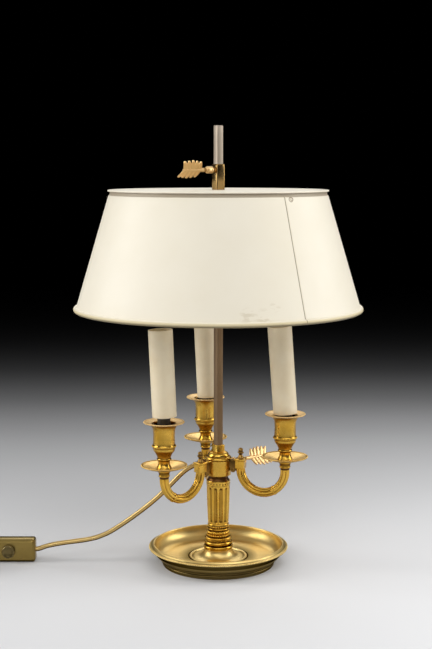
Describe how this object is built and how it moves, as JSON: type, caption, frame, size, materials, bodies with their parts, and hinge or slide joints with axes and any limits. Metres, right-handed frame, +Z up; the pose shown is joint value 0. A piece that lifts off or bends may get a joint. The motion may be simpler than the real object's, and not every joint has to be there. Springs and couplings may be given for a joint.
{
  "type": "bouillotte lamp",
  "caption": "Brass bouillotte lamp: dish base, fluted column, square rod, curved candle arms and a painted conical shade, both set in height by arrow-shaped keys, with a switched flex.",
  "frame": {"origin": "centre of the round foot, on the table", "axes": "+Z up along the column and the rod, the front of the lamp faces -Y, +X to the viewer's right"},
  "size_m": [0.5075, 0.3175, 0.482],
  "materials": {
    "brass_bright": "polished, slightly aged",
    "brass_dark": "dark patina",
    "rod_steel": "drawn bar, lightly tarnished",
    "plain_steel": "plain, zinc plated",
    "shade_paint": "cream paint, satin",
    "candle_ivory": "ivory, matt",
    "holder_plastic": "dark moulded",
    "flex_gold": "gold coloured, glossy",
    "button_plastic": "dull gold",
    "felt": "green felt"
  },
  "bodies": {
    "stand": {"base_dish": "brass_bright", "base_weight": "plain_steel", "base_felt": "felt", "rod_nut": "plain_steel", "column_foot": "brass_bright", "column_shaft": "brass_bright", "column_neck": "brass_dark", "rod": "rod_steel", "cord_lead": "flex_gold", "switch_front": "flex_gold", "switch_back": "flex_gold", "cord_feed": "flex_gold", "cord_coil": "flex_gold", "cord_tail": "flex_gold", "plug_body": "flex_gold", "plug_pins": "plain_steel"},
    "light_cluster": {"hub_drum": "brass_bright", "hub_cover": "brass_bright", "wire_joints": "holder_plastic", "cord_gland": "holder_plastic", "lamp_wires": "holder_plastic", "arm_back": "brass_bright", "arm_left": "brass_bright", "arm_right": "brass_bright", "arm_bracket_back": "brass_bright", "arm_bracket_left": "brass_bright", "arm_bracket_right": "brass_bright", "collar_back": "brass_bright", "collar_left": "brass_bright", "collar_right": "brass_bright", "bud_back": "brass_bright", "bud_left": "brass_bright", "bud_right": "brass_bright", "nipple_back": "brass_dark", "nipple_left": "brass_dark", "nipple_right": "brass_dark", "under_collar_back": "brass_bright", "under_collar_left": "brass_bright", "under_collar_right": "brass_bright", "drip_pan_back": "brass_bright", "drip_pan_left": "brass_bright", "drip_pan_right": "brass_bright", "cup_back": "brass_bright", "cup_left": "brass_bright", "cup_right": "brass_bright", "lampholder_back": "holder_plastic", "lampholder_left": "holder_plastic", "lampholder_right": "holder_plastic", "candle_back": "candle_ivory", "candle_left": "candle_ivory", "candle_right": "candle_ivory"},
    "cluster_screw": {"cluster_key": "brass_bright"},
    "shade": {"shade_cone": "shade_paint", "shade_cap": "shade_paint", "shade_seam": "shade_paint", "seam_rivet": "shade_paint", "shade_sleeve": "brass_bright", "flange_rivets": "brass_bright"},
    "shade_screw": {"shade_key": "brass_bright"},
    "button": {"switch_button": "button_plastic"}
  },
  "joints": [
    {"name": "cluster_slide", "type": "slide", "parent": "stand", "child": "light_cluster", "axis": [0, 0, 1], "range_m": [0, 0.06]},
    {"name": "cluster_key_turn", "type": "hinge", "parent": "light_cluster", "child": "cluster_screw", "pos_m": [0.01638, 0.01147, 0.1133], "axis": [0.8192, 0.5736, 0], "range_deg": [0, 360]},
    {"name": "shade_slide", "type": "slide", "parent": "stand", "child": "shade", "axis": [0, 0, 1], "range_m": [-0.06, 0.04]},
    {"name": "shade_key_turn", "type": "hinge", "parent": "shade", "child": "shade_screw", "pos_m": [-0.01638, -0.01147, 0.4348], "axis": [-0.8192, -0.5736, 0], "range_deg": [0, 360]},
    {"name": "button_press", "type": "slide", "parent": "stand", "child": "button", "axis": [0, 1, 0], "range_m": [0, 0.003], "stiffness_N_per_m": 400, "springref_m": -0.001}
  ]
}
